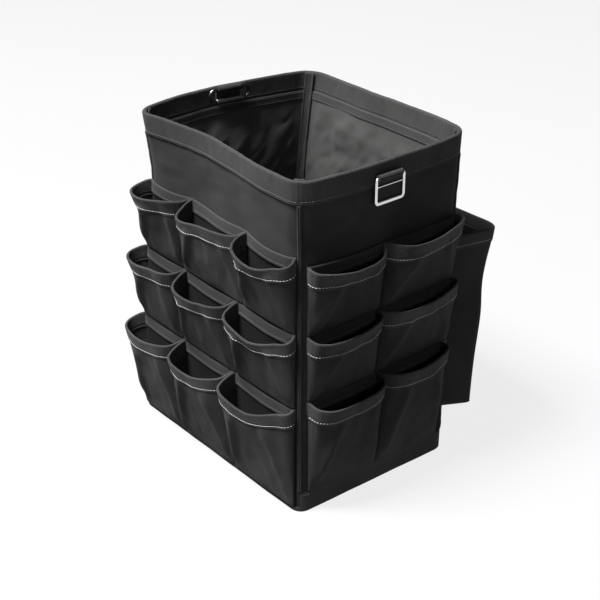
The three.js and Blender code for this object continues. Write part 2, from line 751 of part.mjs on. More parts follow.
const ringTabOut = gap + hemThickness + 2 * gap;
const ringTab = tabSolid(webbingTab(ringEye, tabLayer, barClearance, ringEye.up - tabBottom, tabPinch), tabWidth);
standOn(add('ring_tab', ringTab, webbing), 'right', tabPlace, tabTop, ringTabOut, false);
standOn(add('ring', ringSolid(), silver), 'right', tabPlace, tabTop, ringTabOut, false);

const rearTabOut = -(wallThickness + gap + hemThickness + 3 * gap);
const linkTab = tabSolid(webbingTab(linkEye, tabLayer, barClearance, rearTabLength, tabPinch), rearTabWidth);
standOn(add('link_tab', linkTab, webbing), 'left', rearTabPlace, height, rearTabOut, true);
standOn(add('link', linkSolid(), darkMetal), 'left', rearTabPlace, height, rearTabOut, true);
standOn(add('link_sleeve', sleeveSolid(), darkMetal), 'left', rearTabPlace, height, rearTabOut, true);

export default group;
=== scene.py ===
# Looks for the open top tool tote: fine cloth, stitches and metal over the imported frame.
# Shapes are worked out in millimetres, with +X along the long front face, and written in metres.
import math

import bpy
import numpy as np
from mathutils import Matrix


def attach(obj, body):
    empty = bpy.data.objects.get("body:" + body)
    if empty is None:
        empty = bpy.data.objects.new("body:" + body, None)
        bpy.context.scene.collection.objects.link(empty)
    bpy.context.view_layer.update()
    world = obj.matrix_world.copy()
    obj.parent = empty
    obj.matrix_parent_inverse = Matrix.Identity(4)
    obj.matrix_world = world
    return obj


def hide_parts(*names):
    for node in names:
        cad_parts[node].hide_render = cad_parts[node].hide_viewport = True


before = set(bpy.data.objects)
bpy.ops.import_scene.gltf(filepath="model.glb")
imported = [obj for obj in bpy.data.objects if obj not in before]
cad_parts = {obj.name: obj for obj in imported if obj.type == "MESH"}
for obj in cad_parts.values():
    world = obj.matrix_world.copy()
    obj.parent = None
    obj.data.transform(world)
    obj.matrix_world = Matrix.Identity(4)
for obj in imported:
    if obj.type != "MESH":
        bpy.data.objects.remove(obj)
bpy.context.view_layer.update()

# Body
LENGTH, WIDTH, HEIGHT = 250.0, 200.0, 335.0
WALL, LINING, GAP = 1.6, 1.0, 0.3
BOTTOM_CORNER, RIM_CORNER = 12.0, 19.0
HEM_DEPTH, INNER_HEM_DEPTH, HEM = 22.0, 20.0, 1.0
FACING_DEPTH, FACING = 9.0, 0.8
SEAM_WIDTH, SEAM_HEIGHT = 5.0, 1.8
TAPE_WIDTH, TAPE = 15.0, 0.9
BAND = 1.0
BASE = 2.0

# Small pockets
POCKET_DEPTH, POCKET_CLOTH, POCKET_HEM, HEM_EXTRA = 24.0, 1.2, 17.5, 0.8
MOUTH_SAG, BACKING, POCKET_GAP, ROW_GAP = 12.0, 1.0, 0.5, 0.6
BACKING_HEM = 12.0
FOOT_BOX, FOOT_DEPTH = 2.4, 0.05
SWELL = {1: 0.95, 2: 0.95, 3: 0.8}

# Large pocket on the back
BIG_WIDTH, BIG_TOP, BIG_BOTTOM = 225.0, 225.0, 39.0
BIG_DEPTH, BIG_FOOT_DEPTH, BIG_DROP = 61.0, 52.0, 13.0
BIG_CLOTH, BIG_HEM, BIG_BOX = 1.4, 14.0, 26.0
BIG_HEIGHT = BIG_TOP - BIG_BOTTOM

# Front tab with its ring, rear tab with its link
TAB_WIDTH, TAB_LAYER, TAB_TOP, TAB_BOTTOM, TAB_PINCH = 29.0, 1.0, 325.0, 296.0, 6.5
RING_WIDTH, RING_BOTTOM, RING_THICK, RING_CORNER, RING_CORNER_IN = 36.0, 297.0, 1.8, 4.5, 1.6
RING_TOP_BAR, RING_LEG, RING_BOTTOM_BAR, RING_CROSS, RING_CROSS_DROP = 2.2, 2.8, 3.6, 1.2, 8.5
CLEARANCE = 0.4
REAR_WIDTH, REAR_RISE, REAR_LENGTH = 28.0, 1.6, 14.0
LINK_WIRE, LINK_LENGTH, LINK_DROP, SLEEVE, SLEEVE_INSET = 3.2, 49.0, 12.0, 5.0, 1.0

# The pins on which the ring and the link turn: a point in plan and the direction along the pin
RING_PIN, RING_ALONG = (135.025, -3.067), (-0.06265, 0.99804)
LINK_PIN, LINK_ALONG = (-121.280, 6.408), (0.06394, 0.99795)

# Stitches
STITCH, STITCH_GAP, THREAD, STITCH_UP = 2.1, 0.9, 0.65, 2.8

# The plan outline at five heights, as shares of half the length and half the width
LEVELS = np.array([0.000, 0.337, 0.570, 0.791, 1.000])
OUTLINE = {
    "front_left": [[-1.070, -1.050], [-1.065, -1.020], [-1.015, -0.980], [-0.920, -0.970], [-0.930, -1.045]],
    "front_right": [[1.008, -0.950], [1.006, -0.950], [1.004, -0.950], [1.010, -0.958], [1.032, -0.985]],
    "back_right": [[0.990, 0.900], [0.990, 0.920], [0.985, 0.945], [0.968, 0.985], [0.944, 1.050]],
    "back_left": [[-1.020, 0.950], [-1.020, 0.960], [-1.000, 0.980], [-0.970, 1.020], [-0.944, 1.080]],
}

# How far each face bows outwards at the rim, as shares of half the width
BOW_PLACES = [0, 0.2, 0.4, 0.6, 0.8, 1]
BOW = {
    "front": [0, -0.062, -0.102, -0.062, 0.000, 0],
    "right": [0, 0.043, 0.064, 0.056, 0.042, 0],
    "back": [0, 0.032, 0.034, 0.016, 0.012, 0],
    "left": [0, 0.056, 0.114, 0.136, 0.088, 0],
}

# Faces run anticlockwise seen from above: first corner, last corner, face before, face after, bottom band
FACES = {
    "front": ("front_left", "front_right", "left", "right", 5.0),
    "right": ("front_right", "back_right", "front", "back", 21.5),
    "back": ("back_right", "back_left", "right", "left", 5.0),
    "left": ("back_left", "front_left", "back", "front", 21.5),
}

# Long creases of the upper walls: height, start, end and width
CREASES = {
    "front": [(1.2, (180, 330), (250, 262), 13), (-2.0, (172, 312), (246, 246), 14),
              (1.5, (40, 262), (110, 300), 14)],
    "right": [(1.4, (60, 262), (104, 300), 12), (-1.2, (30, 300), (80, 262), 12)],
}

# Rows of small pockets: mouth levels as shares of the height, and the pockets' joints as shares of the face
MOUTHS = {"front": [(0.789, 0.789), (0.567, 0.567), (0.334, 0.337)],
          "right": [(0.762, 0.766), (0.556, 0.576), (0.356, 0.380)]}
ROW_ENDS = {"front": (0.020, 0.980), "right": (0.046, 0.975)}
POCKET_COLUMNS = ("face", "row", "start", "end", "left_depth", "right_depth", "left_sag", "middle_sag",
                  "right_sag", "left_box", "right_box", "left_splay", "fold_place", "fold")
POCKETS = [dict(zip(POCKET_COLUMNS, row)) for row in [
    ("front", 1, 0.018, 0.298, 1.12, 0.76, 0.67, 0.46, 0.04, 4.1, 3.5, 0.00, 0.60, 0.10),
    ("front", 1, 0.298, 0.685, 1.18, 0.62, 0.88, 0.57, 0.35, 4.2, 3.6, 0.00, 0.52, 0.07),
    ("front", 1, 0.685, 0.982, 1.09, 0.66, 0.67, 1.25, 0.62, 3.0, 2.5, 0.00, 0.45, 0.05),
    ("front", 2, 0.018, 0.311, 1.12, 0.96, 0.59, 0.39, 0.14, 4.2, 3.4, 0.00, 0.62, 0.14),
    ("front", 2, 0.311, 0.646, 1.06, 0.94, 0.84, 0.90, 0.32, 4.0, 3.5, 0.00, 0.64, 0.18),
    ("front", 2, 0.646, 0.980, 1.03, 0.56, 0.73, 1.48, 0.66, 4.6, 3.0, 0.00, 0.40, 0.06),
    ("front", 3, 0.020, 0.312, 1.14, 0.96, 0.79, 0.91, 0.33, 4.2, 3.6, 0.00, 0.55, 0.05),
    ("front", 3, 0.312, 0.629, 1.28, 0.90, 0.79, 1.20, 0.45, 4.4, 3.4, 0.00, 0.45, 0.05),
    ("front", 3, 0.629, 0.976, 1.22, 0.56, 0.72, 1.36, 0.37, 4.8, 2.6, 0.00, 0.55, 0.04),
    ("right", 1, 0.046, 0.481, 0.92, 0.58, 0.12, 0.66, 0.60, 3.8, 2.5, 0.05, 0.62, 0.09),
    ("right", 1, 0.481, 0.972, 1.12, 0.62, 0.05, 0.20, 0.02, 4.5, 3.2, 0.36, 0.40, 0.06),
    ("right", 2, 0.046, 0.468, 0.98, 0.76, 0.10, 0.30, 0.10, 3.8, 3.2, 0.06, 0.55, 0.06),
    ("right", 2, 0.468, 0.972, 0.98, 0.60, 0.05, 0.25, 0.02, 4.2, 3.2, 0.28, 0.45, 0.08),
    ("right", 3, 0.050, 0.492, 1.00, 0.86, 0.26, 0.52, 0.32, 3.9, 3.6, 0.06, 0.48, 0.05),
    ("right", 3, 0.492, 0.930, 0.92, 0.80, 0.00, 0.30, -0.15, 4.2, 3.6, 0.18, 0.42, 0.12),
]]


# Small sums
def lerp(a, b, t):
    """The value a share t of the way from a to b."""
    return a + (b - a) * t


def smooth(t):
    """A step from 0 to 1 with level ends: 3t squared less 2t cubed, held at its ends."""
    t = np.clip(t, 0, 1)
    return t * t * (3 - 2 * t)


def between(share, edge):
    """A step up over a share's first edge, 1 between, and a step down over its last."""
    return smooth(share / edge) * smooth((1 - share) / edge)


def bell(t):
    """A bump of height 1 at 0: e to the power of t squared, negative."""
    return np.exp(-t ** 2)


def oval(angle, power):
    """A squarish oval by angle, where |x| and |y| to the power add up to 1."""
    reach = (np.abs(np.cos(angle)) ** power + np.abs(np.sin(angle)) ** power) ** (-1 / power)
    return np.cos(angle) * reach, np.sin(angle) * reach


def unit(vectors):
    """Vectors divided by their lengths."""
    return vectors / np.linalg.norm(vectors, axis=-1, keepdims=True)


def curve(places, values, at, free=False):
    """A smooth line through table values: cubics with mean slopes, and level ends, or straight where free."""
    places, values = np.asarray(places, float), np.asarray(values, float)
    slopes = np.zeros_like(values)
    slopes[1:-1] = (values[2:] - values[:-2]) / (places[2:] - places[:-2])
    if free:
        slopes[0] = (values[1] - values[0]) / (places[1] - places[0])
        slopes[-1] = (values[-1] - values[-2]) / (places[-1] - places[-2])
    k = np.clip(np.searchsorted(places, at, side="right") - 1, 0, len(places) - 2)
    span = places[k + 1] - places[k]
    t = np.clip((at - places[k]) / span, 0, 1)
    held = values[k] * (1 + 2 * t) * (1 - t) ** 2 + values[k + 1] * t * t * (3 - 2 * t)
    return held + span * (slopes[k] * t * (1 - t) ** 2 - slopes[k + 1] * t * t * (1 - t))


def hills(x, y, seed):
    """Smooth random hills, one to a unit: slopes drawn on a lattice, carried into each cell and blended."""
    slopes = np.random.default_rng(seed).normal(size=(64, 64, 2))
    x, y = np.broadcast_arrays(np.asarray(x, float), np.asarray(y, float))
    left, low = np.floor(x).astype(int), np.floor(y).astype(int)
    across, up = x - left, y - low

    def slope(i, j):
        g = slopes[(low + j) % 64, (left + i) % 64]
        return g[..., 0] * (across - i) + g[..., 1] * (up - j)

    s = across ** 3 * (across * (across * 6 - 15) + 10)
    t = up ** 3 * (up * (up * 6 - 15) + 10)
    return lerp(lerp(slope(0, 0), slope(1, 0), s), lerp(slope(0, 1), slope(1, 1), s), t)


def rumple(x, y, seed):
    """Hills of three sizes added up, each half the size of the last."""
    return sum(hills(x * 2 ** k, y * 2 ** k, seed + k) / 2 ** k for k in range(3))


def crease(x, y, start, end, width):
    """A ridge of height 1 from start to end: a bell across it, fading out at its ends."""
    (x0, y0), (x1, y1) = start, end
    run = math.hypot(x1 - x0, y1 - y0)
    along = ((x - x0) * (x1 - x0) + (y - y0) * (y1 - y0)) / run ** 2
    aside = ((x - x0) * (y1 - y0) - (y - y0) * (x1 - x0)) / run
    return bell(aside / width) * between(along, 0.25)


# The tote's wall
def corner(name, z):
    """A corner of the plan outline at height z: smooth lines through the outline table."""
    table = np.array(OUTLINE[name])
    x = curve(LEVELS, table[:, 0], z / HEIGHT, free=True) * LENGTH / 2
    y = curve(LEVELS, table[:, 1], z / HEIGHT, free=True) * WIDTH / 2
    return np.stack([x, y], -1)


def heading(face, z):
    """The direction in which a face runs in plan, from its first corner to its last."""
    return unit(corner(FACES[face][1], z) - corner(FACES[face][0], z))


def outwards(along):
    """A direction in plan turned a quarter clockwise, which points out of the tote."""
    return np.stack([along[..., 1], -along[..., 0]], -1)


def span_of(face, z):
    """The length of a face in plan at height z."""
    return np.linalg.norm(corner(FACES[face][1], z) - corner(FACES[face][0], z), axis=-1)


def plan(face, share, z):
    """The wall in plan: the line between two corners, bowed towards the rim, waved a little, and rounded at
    each corner by a quarter of the corner radius times the square of the nearness."""
    first, last, before, after, _ = FACES[face]
    start, end = corner(first, z), corner(last, z)
    span = np.linalg.norm(end - start, axis=-1)
    along = (end - start) / span[..., None]
    radius = lerp(BOTTOM_CORNER, RIM_CORNER, z / HEIGHT)
    bow = curve(BOW_PLACES, BOW[face], share) * smooth((z / HEIGHT - 0.5) / 0.5) * WIDTH / 2
    wave = 0.9 * hills(share * span / 46, z / 60, 5 + len(face)) * between(share, 0.12)
    point = start + (end - start) * share[..., None] + outwards(along) * (bow + wave)[..., None]
    at_start = np.clip(1 - share * span / radius, 0, 1) ** 2 * radius / 4
    at_end = np.clip(1 - (1 - share) * span / radius, 0, 1) ** 2 * radius / 4
    point = point + (along - heading(before, z)) * at_start[..., None]
    return point + (heading(after, z) - along) * at_end[..., None]


def wall(face, share, z, out=0.0):
    """A point on the wall, standing out from it along the wall's own direction, which turns to the corner's
    bisector over the last 6% of the face."""
    share, z, out = np.broadcast_arrays(np.asarray(share, float), np.asarray(z, float), np.asarray(out, float))
    step = 0.004
    ahead = plan(face, np.minimum(share + step, 1), z) - plan(face, np.maximum(share - step, 0), z)
    before, after = FACES[face][2:4]
    own = outwards(heading(face, z))
    beside = np.where((share < 0.5)[..., None], outwards(heading(before, z)), outwards(heading(after, z)))
    weight = np.clip(1 - np.where(share < 0.5, share, 1 - share) / 0.06, 0, 1)[..., None]
    normal = unit(lerp(outwards(unit(ahead)), unit(own + beside), weight))
    point = plan(face, share, z) + normal * out[..., None]
    return np.concatenate([point, z[..., None]], -1)


def wall_normal(face, share, z):
    """The direction in which pieces stand out of the wall."""
    return unit(wall(face, share, z, 1.0) - wall(face, share, z, 0.0))


# Meshes
def ribbon(centre, thickness):
    """The outline of a layer of cloth: its centre line moved half the thickness to each side, and a half circle
    round each end. Points are (out, up)."""
    centre = np.asarray(centre, float)
    half = np.broadcast_to(np.asarray(thickness, float), len(centre)) / 2
    ahead = unit(np.gradient(centre, axis=0))
    aside = np.stack([-ahead[:, 1], ahead[:, 0]], -1)

    def end(point, forward, side, radius):
        turn = np.linspace(0, np.pi, 7)[1:-1, None]
        return point + radius * (np.cos(turn) * side + np.sin(turn) * forward)

    return np.concatenate([
        centre + aside * half[:, None], end(centre[-1], ahead[-1], aside[-1], half[-1]),
        (centre - aside * half[:, None])[::-1], end(centre[0], -ahead[0], -aside[0], half[0])])


def layer(out, heights, thickness):
    """The section of an upright layer of cloth, as a column of distances out and a column of heights."""
    section = ribbon(np.stack([out + 0 * heights, heights], -1), thickness)
    return section[:, :1], section[:, 1:]


def even_line(points, step):
    """A smooth line through a few points, at about even steps: the tables' cubics by arc length."""
    points = np.asarray(points, float)
    way = np.concatenate([[0], np.cumsum(np.linalg.norm(np.diff(points, axis=0), axis=1))])
    at = np.linspace(0, way[-1], max(4, int(way[-1] / step)))
    return np.stack([curve(way, points[:, k], at, free=True) for k in range(points.shape[1])], -1)


def measure(points, axis):
    """Mean distances along one axis of a grid of points, from 0 and one more than the points."""
    steps = np.linalg.norm(np.roll(points, -1, axis) - points, axis=-1).mean(1 - axis)
    return np.concatenate([[0], np.cumsum(steps)])


def skin(name, points, finish, closed_columns=False, body="tote", takes=None, stands_for=(), hem_rows=None):
    """A mesh over a grid of points[row, column] in mm. Rows run round the section. Columns run along the piece,
    back to its start where closed, or else between two flat ends. The UV map is in mm, and the rows marked in
    hem_rows take the hem's finish."""
    rows, columns = points.shape[:2]
    r = np.arange(rows)
    c = np.arange(columns if closed_columns else columns - 1)
    r, c = [grid.ravel() for grid in np.meshgrid(r, c, indexing="ij")]
    corners = [(r, c), (r, c + 1), (r + 1, c + 1), (r + 1, c)]
    quads = np.stack([(i % rows) * columns + j % columns for i, j in corners], -1)
    down, along = measure(points, 0), measure(points, 1)
    uv = np.stack([np.stack([along[j], down[i]], -1) for i, j in corners], 1)
    flat = points.reshape(-1, 3)
    a, b, d, e = flat[quads].transpose(1, 0, 2)
    inside_out = (a * (np.cross(b, d) + np.cross(d, e))).sum() < 0
    if inside_out:
        quads, uv = quads[:, ::-1], uv[:, ::-1]
    faces = quads.tolist()
    ends = []
    if not closed_columns:
        ring = np.arange(rows) * columns
        ends = [ring, (ring + columns - 1)[::-1]]
        ends = [end[::-1] if inside_out else end for end in ends]
    faces += [end.tolist() for end in ends]
    mesh = bpy.data.meshes.new(name)
    mesh.from_pydata((flat * 0.001).tolist(), [], faces)
    layer = mesh.uv_layers.new(name="cloth")
    ends_uv = [np.zeros((len(end), 2)) for end in ends]
    layer.data.foreach_set("uv", np.concatenate([uv.reshape(-1, 2), *ends_uv]).ravel())
    mesh.polygons.foreach_set("use_smooth", [len(face) == 4 for face in faces])
    piece = place(name, mesh, finish, body, takes, stands_for)
    if hem_rows is not None:
        mesh.materials.append(HEM_CANVAS)
        marks = np.concatenate([np.asarray(hem_rows)[r].astype(int), np.zeros(len(ends), int)])
        mesh.polygons.foreach_set("material_index", marks)
    mesh.update()
    return piece


def place(name, mesh, finish, body, takes, stands_for):
    """Puts a mesh in the scene with its finish and body, and hides the CAD nodes that it stands for. The takes
    argument is not used.
    """
    piece = bpy.data.objects.new(name, mesh)
    bpy.context.scene.collection.objects.link(piece)
    mesh.materials.append(finish)
    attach(piece, body)
    if stands_for:
        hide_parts(*stands_for)
    return piece


def stitches(name, lines, finish):
    """Stitches at even steps along lines of (points, normals): five-sided beads that bulge in the middle and
    dive into the cloth at both ends."""
    share = np.array([-1, -0.7, 0, 0.7, 1])
    fat = np.array([0.3, 0.9, 1, 0.9, 0.3]) * THREAD / 2
    lift = np.array([-0.75, 0.15, 0.45, 0.15, -0.75]) * THREAD / 2
    turn = np.arange(5) * 2 * np.pi / 5
    beads = []
    for points, normals in lines:
        way = np.concatenate([[0], np.cumsum(np.linalg.norm(np.diff(points, axis=0), axis=1))])
        count = max(1, int(way[-1] / (STITCH + STITCH_GAP)))
        middle = (np.arange(count) + 0.5) * way[-1] / count

        def at(distance, values):
            return np.stack([np.interp(distance, way, values[:, k]) for k in range(3)], -1)

        start, end = at(middle - STITCH / 2, points), at(middle + STITCH / 2, points)
        forward, up = unit(end - start), unit(at(middle, normals))
        side = unit(np.cross(forward, up))
        centre = at(middle, points)
        ring = (centre[:, None, None] + forward[:, None, None] * (share * STITCH / 2)[None, :, None, None]
                + up[:, None, None] * (lift[:, None] + fat[:, None] * np.sin(turn))[None, ..., None]
                + side[:, None, None] * (fat[:, None] * np.cos(turn))[None, ..., None])
        beads.append(ring.reshape(count, 25, 3))
    beads = np.concatenate(beads)
    k, t = [grid.ravel() for grid in np.meshgrid(np.arange(4), np.arange(5), indexing="ij")]
    sides = np.stack([k * 5 + t, k * 5 + (t + 1) % 5, (k + 1) * 5 + (t + 1) % 5, (k + 1) * 5 + t], -1)
    offsets = (np.arange(len(beads)) * 25)[:, None, None]
    faces = (offsets + sides).reshape(-1, 4).tolist()
    caps = np.array([[4, 3, 2, 1, 0], [20, 21, 22, 23, 24]])
    faces += (offsets + caps).reshape(-1, 5).tolist()
    mesh = bpy.data.meshes.new(name)
    mesh.from_pydata((beads.reshape(-1, 3) * 0.001).tolist(), [], faces)
    mesh.polygons.foreach_set("use_smooth", [True] * len(faces))
    mesh.update()
    place(name, mesh, finish, "tote", None, ())


# Shader sums
class Signal:
    """A shader socket that takes part in sums: each operator adds the Math node that works it out."""

    def __init__(self, graph, socket):
        self.graph, self.socket = graph, socket

    def sum(self, operation, a, b=0.0):
        return self.graph.node("ShaderNodeMath", {"operation": operation}, {0: a, 1: b})

    def __add__(self, other):
        return self.sum("ADD", self, other)

    def __radd__(self, other):
        return self.sum("ADD", other, self)

    def __sub__(self, other):
        return self.sum("SUBTRACT", self, other)

    def __rsub__(self, other):
        return self.sum("SUBTRACT", other, self)

    def __mul__(self, other):
        return self.sum("MULTIPLY", self, other)

    def __rmul__(self, other):
        return self.sum("MULTIPLY", other, self)

    def sine(self):
        return self.sum("SINE", self)


class Graph:
    """The node tree of one material."""

    def __init__(self, name):
        self.material = bpy.data.materials.new(name)
        self.material.use_nodes = True
        self.tree = self.material.node_tree
        self.tree.nodes.clear()

    def node(self, kind, settings, inputs, output=0):
        made = self.tree.nodes.new(kind)
        for key, value in settings.items():
            setattr(made, key, value)
        for key, value in inputs.items():
            if isinstance(value, Signal):
                self.tree.links.new(value.socket, made.inputs[key])
            else:
                made.inputs[key].default_value = value
        return Signal(self, made.outputs[output]) if made.outputs else None

    def cloth_axes(self):
        """The piece's own UV map, in mm: across, up, and both as a vector."""
        uv = self.node("ShaderNodeUVMap", {"uv_map": "cloth"}, {})
        across = self.node("ShaderNodeSeparateXYZ", {}, {0: uv})
        return across, Signal(self, across.socket.node.outputs[1]), uv

    def noise(self, scale, detail=2.0, vector=None):
        """Noise on Object coordinates, or on the vector given."""
        if vector is None:
            vector = self.node("ShaderNodeTexCoord", {}, {}, "Object")
        inputs = {"Vector": vector, "Scale": scale, "Detail": detail}
        return self.node("ShaderNodeTexNoise", {}, inputs, "Fac")

    def mix(self, factor, a, b):
        """A colour between two."""
        return self.node("ShaderNodeMix", {"data_type": "RGBA"}, {0: factor, 6: a, 7: b}, 2)

    def finish(self, **inputs):
        """The Principled shader with these sockets, and the material."""
        names = {key.replace("_", " "): value for key, value in inputs.items()}
        shader = self.node("ShaderNodeBsdfPrincipled", {}, names)
        self.node("ShaderNodeOutputMaterial", {}, {0: shader})
        return self.material


def grey(value, tint=0.0):
    """A nearly neutral colour: tint above 0 warms it."""
    return (value * (1 + tint), value, value * (1 - tint), 1)


def woven(name, dark, light, period, relief, sheen, specular, rough=0.86, diagonal=True, heather=0.5):
    """Woven cloth: twill or plain weave lines from sines of the UV map in mm, threads that vary in tone, and
    slow fading over the piece."""
    graph = Graph(name)
    across, up, uv = graph.cloth_axes()
    turn = 2 * math.pi / period
    if diagonal:
        lines = ((across + up * 1.15) * turn).sine()
        counter = ((across * 2.1 - up * 1.9) * turn).sine()
        weave = lines * 0.6 + counter * 0.25
    else:
        weave = (across * turn).sine() * (up * turn).sine()
    stretched = graph.node("ShaderNodeMapping", {}, {"Vector": uv, "Scale": (0.35, 1.6, 1.0)})
    threads = graph.noise(1.0, 3.0, stretched)
    slow = graph.noise(14.0, 2.0)
    tone = (threads - 0.5) * heather * 2 + (slow - 0.5) * 0.9 + weave * 0.60 + 0.5
    colour = graph.mix(tone, grey(dark, 0.02), grey(light, 0.015))
    height = weave + (threads - 0.5) * 1.2
    normal = graph.node("ShaderNodeBump", {}, {"Strength": 0.8, "Distance": relief * 0.001, "Height": height})
    return graph.finish(Base_Color=colour, Roughness=(threads - 0.5) * 0.2 + rough, Normal=normal,
                        Sheen_Weight=sheen, Sheen_Roughness=0.45, Specular_IOR_Level=specular)


def thread(name, dark, light):
    """Twisted thread: tone that varies from stitch to stitch and along it."""
    graph = Graph(name)
    tone = graph.noise(420.0, 1.0)
    colour = graph.mix(tone, grey(dark), grey(light))
    return graph.finish(Base_Color=colour, Roughness=0.6, Specular_IOR_Level=0.3)


def metal(name, dark, light, rough, coat):
    """Plated metal: faint clouds and fine scratches in its roughness and tone."""
    graph = Graph(name)
    clouds = graph.noise(60.0, 3.0)
    position = graph.node("ShaderNodeTexCoord", {}, {}, "Object")
    drawn = graph.node("ShaderNodeMapping", {}, {"Vector": position, "Scale": (1.0, 1.0, 14.0)})
    scratches = graph.noise(900.0, 2.0, drawn)
    colour = graph.mix(clouds, grey(dark), grey(light))
    bump = graph.node("ShaderNodeBump", {}, {"Strength": 0.25, "Distance": 0.00003, "Height": scratches})
    return graph.finish(Base_Color=colour, Metallic=1.0, Roughness=clouds * 0.12 + scratches * 0.1 + rough,
                        Normal=bump, Coat_Weight=coat)


CANVAS = woven("canvas", 0.0030, 0.0215, 1.9, 0.22, 0.02, 0.06)
HEM_CANVAS = woven("hem_canvas", 0.0050, 0.0300, 1.6, 0.18, 0.03, 0.06, heather=0.9)
# A darker copy of the canvas for the strips behind the pocket rows: painted shade for the insides of the
# pockets.
PAINTED_SHADE_CANVAS = woven("painted_shade_canvas", 0.0010, 0.0060, 1.9, 0.22, 0.01, 0.04)
LINING_CLOTH = woven("lining_cloth", 0.0130, 0.0270, 0.7, 0.05, 0.03, 0.15, rough=0.62, diagonal=False,
                     heather=0.35)
WEBBING = woven("webbing", 0.0050, 0.0130, 1.1, 0.30, 0.03, 0.12, rough=0.8, diagonal=False)
PALE_THREAD = thread("pale_thread", 0.12, 0.32)
DARK_THREAD = thread("dark_thread", 0.010, 0.030)
GREY_THREAD = thread("grey_thread", 0.022, 0.060)
SILVER = metal("silver", 0.62, 0.78, 0.16, 0.0)
DARK_METAL = metal("dark_metal", 0.05, 0.085, 0.22, 0.3)
SLEEVE_METAL = metal("sleeve_metal", 0.12, 0.20, 0.28, 0.2)


# Walls
WALL_FOOT = BASE + GAP
WALL_TOP = HEIGHT - HEM - GAP
LINING_OUT = -(WALL + 2 * GAP)
LINING_IN = LINING_OUT - LINING
FACING_TOP = HEIGHT - INNER_HEM_DEPTH - GAP
SIDE_ENDS = (0.0006, 0.9994)
SEAM_SHARES = np.linspace(0.01, 0.99, 160)


def shares_for(count, low, high):
    """Shares along a face, closer together towards its ends, where the corners turn."""
    k = np.linspace(0, 1, count)
    return lerp(low, high, lerp(k, (1 - np.cos(np.pi * k)) / 2, 0.6))


def slack(face, share, z):
    """Soft folds of the wall above the pockets: rumpled hills and a few creases, none at the edges."""
    top = MOUTHS.get(face, [(0.2, 0.2)])[0][0] * HEIGHT
    x = share * span_of(face, z)
    free = smooth((z - top) / 22) * smooth((HEIGHT - HEM_DEPTH - z + 4) / 18) * between(share, 0.06)
    folds = 2.0 * rumple(x / 70, z / 42, 31 + len(face))
    for high, start, end, width in CREASES.get(face, []):
        folds = folds + high * crease(x, z, start, end, width)
    return folds * free


def wall_panel(face):
    """A wall of cloth: the wall's surface moved by its slack, and the same one thickness in."""
    shares = shares_for(120, *SIDE_ENDS)
    out, z = layer(-WALL / 2, np.linspace(WALL_FOOT + 0.8, WALL_TOP - 0.8, 110), WALL)
    points = wall(face, shares[None], z, out + slack(face, shares[None], z))
    skin(f"{face}_wall_cloth", points, CANVAS, takes="canvas", stands_for=[f"{face}_panel"])


def hem_section():
    """The rim hem's section: up the outside, round the top and down the inside, thinner at the stitch line."""
    out, inside = GAP + HEM / 2, -(WALL + GAP + HEM / 2)
    top = HEIGHT - HEM / 2
    turn = np.linspace(0, np.pi, 12)
    middle, radius = (out + inside) / 2, (out - inside) / 2
    over = np.stack([middle + radius * np.cos(turn), top - radius + radius * np.sin(turn)], -1)
    up = np.linspace(HEIGHT - HEM_DEPTH + HEM / 2, top - radius, 34)[:-1]
    down = np.linspace(top - radius, HEIGHT - INNER_HEM_DEPTH + HEM / 2, 30)[1:]
    centre = np.concatenate([np.stack([out + 0 * up, up], -1), over, np.stack([inside + 0 * down, down], -1)])
    pull = 0.4 * bell((centre[:, 1] - (HEIGHT - HEM_DEPTH + 3)) / 0.9)
    return ribbon(centre, HEM - pull)


def hem_wave(face, share, z):
    """The rim hem's own unevenness: puckers along its length that die out at the corners."""
    x = share * span_of(face, HEIGHT)
    return 0.35 * hills(x / 9, z / 14, 91 + len(face)) * between(share, 0.03)


def rim_hem(face):
    """Cloth folded over the rim, placed on the wall."""
    shares = shares_for(150, *SIDE_ENDS)
    out, z = np.split(hem_section(), 2, axis=1)
    lift = 0.5 * hills(shares * span_of(face, HEIGHT) / 40, 0.5, 17 + len(face)) * between(shares, 0.05)
    points = wall(face, shares[None], z, out + hem_wave(face, shares[None], z))
    points[..., 2] += lift[None] * smooth((z - HEIGHT + 24) / 24)
    skin(f"{face}_rim", points, HEM_CANVAS, takes="hem", stands_for=[f"{face}_rim_hem"])


def wall_line(face, z, out):
    """A line along a face at height z, standing out from the wall, and the wall's directions."""
    heights = np.full(len(SEAM_SHARES), float(z))
    return wall(face, SEAM_SHARES, heights, out), wall_normal(face, SEAM_SHARES, heights)


def foot_band(face):
    """The band round the foot: a flat strip of cloth with rounded edges, which waves more towards its top."""
    low, high = 0.05, FACES[face][4]
    out, z = layer(GAP + BAND / 2, np.linspace(low + BAND / 2, high - BAND / 2, 16), BAND)
    shares = shares_for(120, *SIDE_ENDS)
    wave = 0.25 * hills(shares * span_of(face, high) / 12, 0.3, 70 + len(face))
    points = wall(face, shares[None], z, out + wave[None] * (z - low) / (high - low))
    skin(f"{face}_foot_band", points, HEM_CANVAS, takes="hem", stands_for=[f"{face}_bottom_band"])


def around(z, out, slack_of=None, count=60):
    """Points all the way round the tote: the four walls one after another, each with its own slack."""
    shares = np.linspace(0, 1, count, endpoint=False)
    return np.concatenate([wall(face, shares, z, out - (slack_of(face, shares, z) if slack_of else 0))
                           for face in FACES], axis=-2)


def lining_slack(face, share, z):
    """How far the lining stands in from the wall: rumples and slanting folds, none at facing or floor."""
    x = share * span_of(face, z)
    free = smooth((HEIGHT - INNER_HEM_DEPTH - 6 - z) / 26) * smooth((z - 4) / 40)
    folds = 3.4 * rumple(x / 52, z / 64, 71 + len(face))
    folds = folds + 2.2 * rumple((x + z * 0.8) / 26, z / 70, 12 + len(face))
    pleats = 2.2 * hills(x / 17, z / 70, 44 + len(face)) * smooth((z - 250) / 40)
    loose = np.abs(folds + pleats) * between(share, 0.1) * free
    return loose + dent(face, share, z) + 0.2


